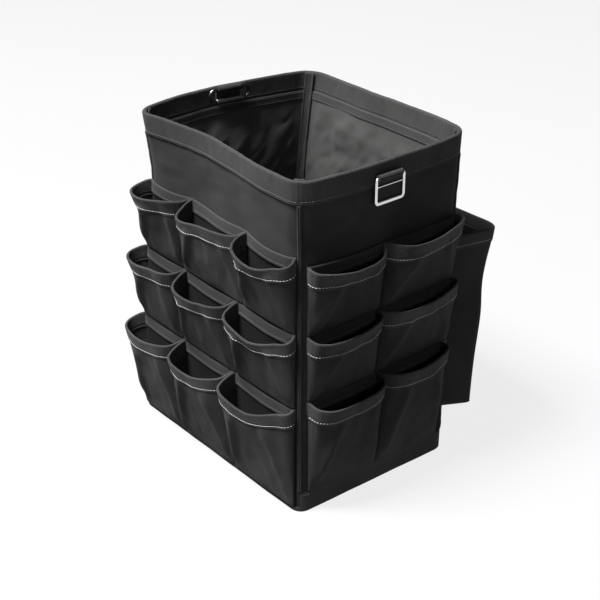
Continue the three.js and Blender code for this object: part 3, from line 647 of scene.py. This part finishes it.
def dent(face, share, z):
    """How far the wall's slack goes inwards, which the lining follows."""
    return np.maximum(-slack(face, share, z), 0)


def lining():
    """The loose inner bag: floor, inside, outside and underside, closed near the middle of the floor."""
    foot = WALL_FOOT + LINING
    inner_z = np.concatenate([[foot], np.linspace(foot + 2, FACING_TOP, 120)])[:, None]
    outer_z = np.linspace(FACING_TOP, WALL_FOOT, 40)[:, None]
    inner = around(inner_z, LINING_IN, lining_slack)
    outer = around(outer_z, LINING_OUT, dent)

    def closing(loop, shares):
        middle = loop.mean(0)
        return loop[None] + (middle - loop)[None] * np.asarray(shares)[:, None, None]

    floor = closing(inner[0], np.linspace(0.999, 0.02, 24))
    underside = closing(outer[-1], [0.3, 0.7, 0.999])
    points = np.concatenate([floor, inner, outer, underside])
    skin("loose_lining", points, LINING_CLOTH, closed_columns=True, takes="lining", stands_for=["lining"])


def inner_facing():
    """The flat strip under the inner hem, all the way round."""
    heights = np.linspace(FACING_TOP - FACING_DEPTH + FACING / 2, FACING_TOP - FACING / 2, 12)
    out, z = layer(LINING_IN - GAP - FACING / 2, heights, FACING)
    points = around(z, out, count=90)
    skin("facing_strip", points, HEM_CANVAS, closed_columns=True, takes="hem", stands_for=["inner_facing"])


def across_corner(face, across, z, out):
    """A point across the corner at the end of a face: below 0 on that face, above 0 on the next."""
    after = FACES[face][3]
    here = wall(face, 1 - np.abs(across) / span_of(face, z), z, out)
    beyond = wall(after, np.abs(across) / span_of(after, z), z, out)
    return np.where((across < 0)[..., None], here, beyond)


def corner_line(face, aside, z, out, step):
    """A line beside a corner at these heights, and the direction from it to a step further out."""
    aside = np.full(len(z), aside)
    line = across_corner(face, aside, z, np.full(len(z), out))
    return line, unit(across_corner(face, aside, z, np.full(len(z), out + step)) - line)


def corner_seam(face):
    """The sewn edge outside a corner: two round ridges with a groove between, from a sine across it."""
    name = FACES[face][1]
    foot = max(FACES[face][4], FACES[FACES[face][3]][4]) + GAP
    z = np.linspace(foot, HEIGHT - HEM_DEPTH - GAP, 170)[None]
    across = np.linspace(-SEAM_WIDTH / 2, SEAM_WIDTH / 2, 25)
    height = SEAM_HEIGHT * (0.12 + 0.88 * np.abs(np.sin(2 * np.pi * across / SEAM_WIDTH)) ** 0.6)
    across = np.concatenate([across, across[::-1][1:-1]])[:, None]
    height = np.concatenate([height, np.full(23, -0.8)])[:, None]
    wander = 0.5 * hills(z / 40, 0.5, 21 + len(name))
    out = GAP + height * (1 + 0.18 * hills(z / 7, 0.5, 3))
    points = across_corner(face, across + 0 * z, z + 0 * across, out)
    points = points + wander[..., None] * np.array([0.4, 0.4, 0])
    skin(f"{name}_edge", points, WEBBING, takes="hem", stands_for=[f"{name}_corner_seam"])
    edge = SEAM_WIDTH / 2 - 0.3
    return [corner_line(face, aside, z[0], GAP + 0.55, 1) for aside in (-edge, 0.0, edge)]


def corner_tape(face):
    """The flat tape inside a corner: a layer folded into the corner, from the floor to the rim."""
    name = FACES[face][1]
    near = LINING_IN - FACING - 2 * GAP
    z = np.linspace(WALL_FOOT + LINING + GAP, HEIGHT - GAP, 150)[None]
    reach = TAPE_WIDTH / 2 - 0.4
    section = ribbon(np.stack([np.linspace(-reach, reach, 30), np.full(30, near - TAPE / 2)], -1), TAPE)
    bump = 0.3 * hills(z / 8, section[:, :1] / 6, 8)
    points = across_corner(face, section[:, :1] + 0 * z, z + 0 * section[:, :1], section[:, 1:] + bump)
    skin(f"{name}_tape", points, HEM_CANVAS, takes="hem", stands_for=[f"{name}_corner_tape"])


# Rows of small pockets
BACKING_OUT = GAP + BACKING
POCKET_OUT = BACKING_OUT + POCKET_GAP


def row_span(face, row, share):
    """The lowest and highest level of a row at a share along the face. Mouth levels run straight."""
    levels = MOUTHS[face]
    bottom = lerp(*levels[row], share) * HEIGHT if row < len(levels) else FACES[face][4] + 0 * share
    return bottom + ROW_GAP, lerp(*levels[row - 1], share) * HEIGHT


def row_length(pocket):
    """The height of a pocket's cloth in its middle."""
    bottom, top = row_span(pocket["face"], pocket["row"], (pocket["start"] + pocket["end"]) / 2)
    return top - bottom


def joints_of(face, row):
    """Where a row's pockets meet, as shares of the face."""
    marks = [p for p in POCKETS if p["face"] == face and p["row"] == row]
    return np.array([p["start"] for p in marks] + [marks[-1]["end"]])


def row_backing(face, row):
    """The strip behind a row: cloth on the wall, darkened with painted shade for the pocket insides, and a
    doubled hem band along its top, which dips and stands off a little between the joints."""
    shares = shares_for(150, *ROW_ENDS[face])
    low, rise = row_span(face, row, shares)
    bottom, top = low.mean(), rise.mean()
    joints = joints_of(face, row)
    k = np.clip(np.searchsorted(joints, shares, side="right") - 1, 0, len(joints) - 2)
    t = (shares - joints[k]) / (joints[k + 1] - joints[k])
    dip = np.sin(np.pi * np.clip(t, 0, 1)) ** 1.2
    fall, stand = (1.0, 0.5) if face == "right" else (2.4, 1.1)

    def placed(out, z):
        high = smooth((z - bottom) / (top - bottom))
        points = wall(face, shares[None], z, out + stand * dip[None] * high ** 4)
        points[..., 2] += lerp(low - bottom, rise - top, high) - fall * dip[None] * high ** 3
        return points

    name = f"{face}_row{row}"
    strip = layer(GAP + BACKING / 2, np.linspace(bottom + 0.5, top - BACKING_HEM + 2, 20), BACKING)
    # The strip below the hem band takes the darker canvas: painted shade inside the pockets.
    skin(f"{name}_back_strip", placed(*strip), PAINTED_SHADE_CANVAS, takes="canvas", stands_for=[f"{name}_backing"])
    heights = np.linspace(top - BACKING_HEM, top - 1.2, 30)
    pull = 0.6 * bell((heights - (top - BACKING_HEM + 2.4)) / 0.7)
    skin(f"{name}_back_hem", placed(*layer(GAP + 1.15, heights, 2.3 - pull)), HEM_CANVAS, takes="hem")
    line = placed(GAP + 2.05, np.array([[top - BACKING_HEM + 2.4]]))[0]
    return line, wall_normal(face, shares, np.full(150, top))


def pocket_base(pocket, k, v, seed):
    """The middle of a pocket's cloth. A squarish oval runs from joint to joint, its left side splayed. It is
    deep at the mouth and nearly flat at the foot, its corners fade downwards, two creases rise from its lower
    corners, and the mouth dips by the sag table."""
    face, start, end = pocket["face"], pocket["start"], pocket["end"]
    k, v = np.broadcast_arrays(np.asarray(k, float), np.asarray(v, float))
    box = lerp(pocket["left_box"], pocket["right_box"], smooth(k))
    power = lerp(FOOT_BOX, box, np.clip(v, 0, 1) ** 0.6)
    across, deep = oval(np.pi * k, power)
    across = -across * (1 - pocket["left_splay"] * deep * smooth((0.6 - k) / 0.3) * np.clip(v, 0, 1))
    side = (across + 1) / 2
    swell = lerp(FOOT_DEPTH, 1, np.clip(v, 0, 1.1) ** SWELL[pocket["row"]])
    fold = pocket["fold"] * (1 - v * 0.6) * bell((side - pocket["fold_place"]) / 0.13)
    depth = POCKET_DEPTH * lerp(pocket["left_depth"], pocket["right_depth"], side) * swell * (1 - fold)
    sag = MOUTH_SAG * curve([0, 0.25, 0.5, 0.75, 1],
                            [0, pocket["left_sag"], pocket["middle_sag"], pocket["right_sag"], 0], k)
    half = (end - start) / 2 - (GAP / 2 + HEM_EXTRA) / span_of(face, HEIGHT / 2 + 0 * v)
    share = (start + end) / 2 + across * half
    bottom, top = row_span(face, pocket["row"], share)
    z = lerp(bottom, top, v) - sag * v ** 2
    x = side * (end - start) * span_of(face, z)
    loose = smooth((1 - v) / 0.22) * smooth(v / 0.12)
    slackness = 1.9 * rumple(x / 40, z / 60, seed) + 1.4 * hills((x + z * 0.7) / 26, (x - z) / 90, seed + 9)
    wide, tall = (end - start) * span_of(face, np.asarray(HEIGHT / 2)), row_length(pocket)
    folds = 4.0 * crease(x, z - bottom, (0, 0), (wide * 0.32, tall * 0.85), 6)
    folds = folds + 3.4 * crease(x, z - bottom, (wide, 0), (wide * 0.72, tall * 0.85), 6)
    out = (depth + (slackness + folds) * loose * np.clip(deep * 1.3, 0, 1)) * deep
    out = out + lerp(BACKING_OUT - 0.5, POCKET_OUT + POCKET_CLOTH / 2, smooth(deep / 0.15))
    return wall(face, share, z, out)


def lifted(base, k, v, off, step):
    """Points moved off a surface base(k, v) along its normals, and the normals: cross products of a small step
    across and one up."""
    across = base(np.minimum(k + step, 1), v) - base(np.maximum(k - step, 0), v)
    normal = unit(np.cross(across, base(k, v + step) - base(k, v - step)))
    off = np.broadcast_to(np.asarray(off, float), normal.shape[:-1])
    return base(k, v) + normal * off[..., None], normal


def pocket_at(pocket, k, height, off, seed):
    """A point of the pocket a share k across it, a height up its cloth and a distance off the cloth's middle."""
    return lifted(lambda k, v: pocket_base(pocket, k, v, seed), k, height / row_length(pocket), off, 0.004)


def pocket_section(length, hem, cloth, extra):
    """The cloth of a pocket from foot to mouth: one layer, a step up to the hem, a line pulled in by the
    stitches, and a rounded edge."""
    edge = length - hem
    heights = np.concatenate([np.linspace(cloth, edge - 1.2, 26), np.linspace(edge - 0.9, edge + 4, 16),
                              np.linspace(edge + 4.6, length - (cloth + extra) / 2, 14)])
    pull = 0.75 * bell((heights - edge - STITCH_UP) / 0.8)
    thickness = cloth + extra * smooth((heights - edge + 0.5) / 0.9) - pull
    return layer(0, heights, thickness)


def small_pocket(pocket, name, seed):
    """A pocket front, and the line that its hem stitches follow."""
    off, height = pocket_section(row_length(pocket), POCKET_HEM, POCKET_CLOTH, 1.3)
    k = np.linspace(0, 1, 100)[None]
    pucker = 0.18 * hills(k * 22, 0.5, seed + 50)
    points, _ = pocket_at(pocket, k, height, off + pucker, seed)
    hem_rows = height[:, 0] > row_length(pocket) - POCKET_HEM
    skin(f"{name}_cloth", points, CANVAS, takes="canvas", stands_for=[name], hem_rows=hem_rows)
    line = np.linspace(0.03, 0.97, 160)
    at = np.full(160, row_length(pocket) - POCKET_HEM + STITCH_UP)
    return pocket_at(pocket, line, at, 1.12 + 0.18 * hills(line * 22, 0.5, seed + 50), seed)


# Large box pocket
def big_start():
    """The share of the back at which the big pocket begins, a third of the way up."""
    span = span_of("back", np.asarray(HEIGHT / 3))
    return (span - BIG_WIDTH) / 2 / span


def big_base(k, v):
    """The middle of the big pocket's cloth: the same squarish oval with a high power, so that it has two flat
    gussets and a flat front, with slow folds that fade towards the hem and the foot."""
    k, v = np.broadcast_arrays(np.asarray(k, float), np.asarray(v, float))
    across, deep = oval(np.pi * k, BIG_BOX)
    across = -across
    low = BIG_BOTTOM - BIG_DROP * deep
    z = lerp(low, BIG_TOP, v) - 5 * np.clip(np.cos(across * np.pi / 2), 0, 1) * np.clip(v, 0, 1) ** 3
    inset = (HEM_EXTRA + BIG_CLOTH / 2) / span_of("back", z)
    loose = smooth((1 - v) / 0.2) * smooth(v / 0.1)
    fold = 1.6 * rumple((across * 109 + deep * 56) / 48, z / 60, 140) * loose
    fold = fold * (1 - 0.85 * np.abs(across) ** 8)
    share = 0.5 + across * (0.5 - big_start() - inset) - np.sign(across) * fold * 0.5 * (1 - deep) / 220
    depth = lerp(BIG_FOOT_DEPTH, BIG_DEPTH, v) * (1 + 0.07 * np.cos(across * np.pi / 2)) - BIG_CLOTH / 2
    return wall("back", share, z, 2 * GAP + depth * deep + fold * deep ** 4)


def big_at(k, height, off):
    """A point of the big pocket, as pocket_at gives one of a small pocket."""
    return lifted(big_base, k, height / BIG_HEIGHT, off, 0.003)


def big_pocket():
    """The big pocket's front and gussets in one piece, and its floor."""
    off, height = pocket_section(BIG_HEIGHT, BIG_HEM, BIG_CLOTH, 1.2)
    points, _ = big_at(np.linspace(0, 1, 280)[None], height, off)
    skin("big_pocket_cloth", points, CANVAS, takes="canvas",
         stands_for=["big_pocket_panel", "big_pocket_right_gusset", "big_pocket_left_gusset"],
         hem_rows=height[:, 0] > BIG_HEIGHT - BIG_HEM)
    outs = np.linspace(0, 1, 12)
    heights = BIG_BOTTOM - BIG_DROP * outs + BIG_CLOTH / 2
    reach = (BIG_FOOT_DEPTH - BIG_CLOTH) * outs + 2 * GAP
    section = ribbon(np.stack([reach, heights], -1), BIG_CLOTH)
    first = big_start() + 0.015
    shares = np.linspace(first, 1 - first, 60)[None]
    skin("big_pocket_base", wall("back", shares, section[:, 1:], section[:, :1]), CANVAS, takes="canvas",
         stands_for=["big_pocket_floor"])
    line = np.linspace(0.02, 0.98, 260)
    return big_at(line, np.full(260, BIG_HEIGHT - BIG_HEM + STITCH_UP), 1.15)


# Tabs, ring and link
class Stand:
    """A hard piece's place, set out from its pin in plan: x along the pin, y up and the third away from the
    wall, with the pin at pin_out."""

    def __init__(self, pin, along, pin_out):
        self.along = np.array([*along, 0.0])
        self.outward = np.array([along[1], -along[0], 0.0])
        self.origin = np.array([*pin, 0.0]) - self.outward * pin_out

    def at(self, x, y, out):
        x, y, out = np.broadcast_arrays(np.asarray(x, float), np.asarray(y, float), np.asarray(out, float))
        flat = self.origin + self.along * x[..., None] + self.outward * out[..., None]
        return flat + np.array([0, 0, 1.0]) * y[..., None]


def tab(name, stand, width, eye_up, eye_out, bar, drop):
    """A strap folded over a bar: a layer up behind it, a loop round it, and the front layer sewn down."""
    radius = bar + CLEARANCE + TAB_LAYER / 2
    turn = np.linspace(np.pi, -0.15 * np.pi, 12)
    loop = np.stack([eye_out + radius * np.cos(turn), eye_up + radius * np.sin(turn)], -1)
    half, front = TAB_LAYER / 2, 1.5 * TAB_LAYER
    low = np.array([[half, eye_up - drop + half], [half, eye_up - drop * 0.6], [half, eye_up - 5]])
    down = np.array([[front + 1.2, eye_up - TAB_PINCH * 0.75], [front, eye_up - TAB_PINCH - 0.8],
                     [front, eye_up - (drop + TAB_PINCH) / 2], [front, eye_up - drop + half]])
    section = ribbon(even_line(np.concatenate([low, loop, down]), 0.8), TAB_LAYER * 0.96)
    x = np.linspace(-width / 2, width / 2, 40)[None]
    bulge = 1 - 0.1 * np.abs(x / width * 2) ** 12
    points = stand.at(x, section[:, 1:], section[:, :1] * bulge)
    skin(f"{name}_strap", points, WEBBING, takes="webbing", stands_for=[name])


def frame_loop(left, right, low, high, radius):
    """A rectangle with rounded corners: four quarter circles, with straight lines between in even steps."""
    corners = [(right - radius, low + radius, -90), (right - radius, high - radius, 0),
               (left + radius, high - radius, 90), (left + radius, low + radius, 180)]
    arcs = []
    for x, y, first in corners:
        turn = np.radians(np.linspace(first, first + 90, 12))
        arcs.append(np.stack([x + radius * np.cos(turn), y + radius * np.sin(turn)], -1))
    sides = [lerp(arcs[k][-1], arcs[(k + 1) % 4][0], np.linspace(0, 1, 16)[1:-1, None]) for k in range(4)]
    return np.concatenate([part for pair in zip(arcs, sides) for part in pair])


def silver_ring(stand, eye_up, eye_out):
    """The ring: a squarish section carried between an outer and an inner loop, and a flat bar across."""
    top = eye_up + RING_TOP_BAR / 2
    half = RING_WIDTH / 2
    outer = frame_loop(-half, half, RING_BOTTOM, top, RING_CORNER)
    inner = frame_loop(-half + RING_LEG, half - RING_LEG, RING_BOTTOM + RING_BOTTOM_BAR, top - RING_TOP_BAR,
                       RING_CORNER_IN)
    side, deep = oval(np.arange(20) * 2 * np.pi / 20, 3.2)
    flat = lerp(inner[None], outer[None], (side[:, None, None] + 1) / 2)
    points = stand.at(flat[..., 0], flat[..., 1], eye_out + deep[:, None] * RING_THICK / 2)
    skin("ring_frame", points, SILVER, closed_columns=True, body="ring", takes="ring_metal",
         stands_for=["ring"])
    low = eye_up - RING_CROSS_DROP
    x = np.linspace(-half + 1.5, half - 1.5, 12)[None]
    points = stand.at(x, low + (side[:, None] + 1) / 2 * RING_CROSS,
                      eye_out + deep[:, None] * RING_THICK * 0.42)
    skin("ring_cross_bar", points, SILVER, body="ring", takes="ring_metal")


def dark_link(stand, eye_up, eye_out):
    """The link: a round wire along two straights and two half circles, and a sleeve on the lower straight."""
    radius = LINK_DROP / 2
    straight = LINK_LENGTH - LINK_WIRE - LINK_DROP
    middle = eye_up - radius
    line = np.linspace(-straight / 2, straight / 2, 20)
    turn = np.linspace(np.pi / 2, -np.pi / 2, 26)[1:-1]
    right = np.stack([straight / 2 + radius * np.cos(turn), middle + radius * np.sin(turn)], -1)
    left = np.stack([-straight / 2 - radius * np.cos(turn), middle - radius * np.sin(turn)], -1)
    path = np.concatenate([np.stack([line, middle + radius + 0 * line], -1), right,
                           np.stack([-line, middle - radius + 0 * line], -1), left])
    ahead = unit(np.roll(path, -1, 0) - np.roll(path, 1, 0))
    round_it = np.arange(16)[:, None] * 2 * np.pi / 16
    wide = LINK_WIRE / 2 * np.cos(round_it)
    points = stand.at(path[:, 0] - ahead[:, 1] * wide, path[:, 1] + ahead[:, 0] * wide,
                      eye_out + LINK_WIRE / 2 * np.sin(round_it))
    skin("link_wire", points, DARK_METAL, closed_columns=True, body="link", takes="link_metal",
         stands_for=["link"])
    reach = straight / 2 - SLEEVE_INSET
    inner = reach - 0.15
    x = np.concatenate([[-reach, -inner], np.linspace(-reach + 0.5, reach - 0.5, 20), [inner, reach]])
    fat = SLEEVE / 2 - 0.5 * np.clip(1 - (reach - np.abs(x)) / 0.5, 0, 1) ** 2
    round_it = np.arange(24)[:, None] * 2 * np.pi / 24
    points = stand.at(x[None], eye_up - LINK_DROP + fat * np.cos(round_it), eye_out + fat * np.sin(round_it))
    skin("link_tube", points, SLEEVE_METAL, body="link", takes="link_metal", stands_for=["link_sleeve"])


# Making
pale_lines, grey_lines, dark_lines = [], [], []
for face in FACES:
    wall_panel(face)
    rim_hem(face)
    foot_band(face)
    dark_lines += corner_seam(face)
    corner_tape(face)
lining()
inner_facing()
for index, pocket in enumerate(POCKETS):
    mates = [p for p in POCKETS if p["face"] == pocket["face"] and p["row"] == pocket["row"]]
    name = f"{pocket['face']}_row{pocket['row']}_pocket{mates.index(pocket) + 1}"
    pale_lines.append(small_pocket(pocket, name, 200 + 7 * index))
for face in MOUTHS:
    for row in (1, 2, 3):
        grey_lines.append(row_backing(face, row))
pale_lines.append(big_pocket())

for face in FACES:
    low = HEIGHT - HEM_DEPTH + 3
    grey_lines.append(wall_line(face, low, GAP + HEM + 0.05 + hem_wave(face, SEAM_SHARES, low)))
    dark_lines.append(wall_line(face, HEIGHT - INNER_HEM_DEPTH + 3, -(WALL + GAP + HEM) - 0.05))
    if FACES[face][4] > 10:
        grey_lines.append(wall_line(face, FACES[face][4] - 3, GAP + BAND + 0.05))
facing_in = LINING_IN - GAP - FACING
for face in FACES:
    for drop in (1.6, FACING_DEPTH - 1.6):
        points, normals = wall_line(face, FACING_TOP - drop, facing_in - 0.05)
        dark_lines.append((points, -normals))
    z = np.linspace(8, HEIGHT - 3, 160)
    for aside in (-TAPE_WIDTH / 2 + 1.8, TAPE_WIDTH / 2 - 1.8):
        dark_lines.append(corner_line(face, aside, z, facing_in - GAP - TAPE - 0.05, -1))
stitches("pale_stitches", pale_lines, PALE_THREAD)
stitches("grey_stitches", grey_lines, GREY_THREAD)
stitches("dark_stitches", dark_lines, DARK_THREAD)

ring_bar = math.hypot(RING_TOP_BAR, RING_THICK) / 2
ring_up, ring_out = TAB_TOP - TAB_LAYER - CLEARANCE - ring_bar, 2 * TAB_LAYER + GAP + RING_THICK / 2
ring_stand = Stand(RING_PIN, RING_ALONG, ring_out)
tab("ring_tab", ring_stand, TAB_WIDTH, ring_up, ring_out, ring_bar, ring_up - TAB_BOTTOM)
silver_ring(ring_stand, ring_up, ring_out)
link_up = HEIGHT + REAR_RISE - TAB_LAYER - CLEARANCE - LINK_WIRE / 2
link_out = 2 * TAB_LAYER + GAP + SLEEVE / 2
link_stand = Stand(LINK_PIN, LINK_ALONG, link_out)
tab("link_tab", link_stand, REAR_WIDTH, link_up, link_out, LINK_WIRE / 2, REAR_LENGTH)
dark_link(link_stand, link_up, link_out)

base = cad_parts["base_panel"]
base.data.materials.clear()
base.data.materials.append(CANVAS)


# Floor, light and camera
def studio():
    """A pale floor that glows and runs far past the view, a dim even sky, a large soft light high in front and
    a weak one from the right that reaches inside."""
    graph = Graph("floor_paper")
    paper = graph.mix(graph.noise(3.0), grey(0.033), grey(0.036))
    finish = graph.finish(Base_Color=paper, Roughness=0.9, Specular_IOR_Level=0.0, Emission_Color=grey(1.0),
                          Emission_Strength=0.82)
    mesh = bpy.data.meshes.new("floor")
    mesh.from_pydata([(-30, -30, 0), (30, -30, 0), (30, 30, 0), (-30, 30, 0)], [], [(0, 1, 2, 3)])
    floor = bpy.data.objects.new("floor", mesh)
    mesh.materials.append(finish)
    bpy.context.scene.collection.objects.link(floor)
    world = bpy.data.worlds.new("studio")
    world.use_nodes = True
    world.node_tree.nodes["Background"].inputs[0].default_value = (1, 1, 1, 1)
    world.node_tree.nodes["Background"].inputs[1].default_value = 0.06
    bpy.context.scene.world = world
    aim_light("key", (-0.32, -1.25, 2.90), 1.0, 610)
    aim_light("fill", (1.50, -0.45, 0.95), 0.5, 6)


def aim(thing, place, target):
    """Turns a light or the camera to look from a place at a target."""
    towards = np.array(target) - np.array(place)
    thing.location = place
    thing.rotation_euler = (math.acos(-towards[2] / np.linalg.norm(towards)), 0,
                            math.atan2(towards[1], towards[0]) - math.pi / 2)


def aim_light(name, place, size, power):
    """A square soft light that looks at the tote."""
    data = bpy.data.lights.new(name, "AREA")
    data.size, data.energy = size, power
    light = bpy.data.objects.new(name, data)
    bpy.context.scene.collection.objects.link(light)
    aim(light, place, (0, 0, 0.17))


def camera():
    """The photograph's view: a 75 mm lens on a 36 mm square sensor."""
    data = bpy.data.cameras.new("camera")
    data.lens, data.sensor_width = 75, 36
    eye = bpy.data.objects.new("camera", data)
    bpy.context.scene.collection.objects.link(eye)
    aim(eye, (0.8838, -0.6754, 0.7181), (0.0125, -0.0070, 0.1525))
    bpy.context.scene.camera = eye


studio()
camera()
bpy.context.scene.view_settings.view_transform = "Standard"
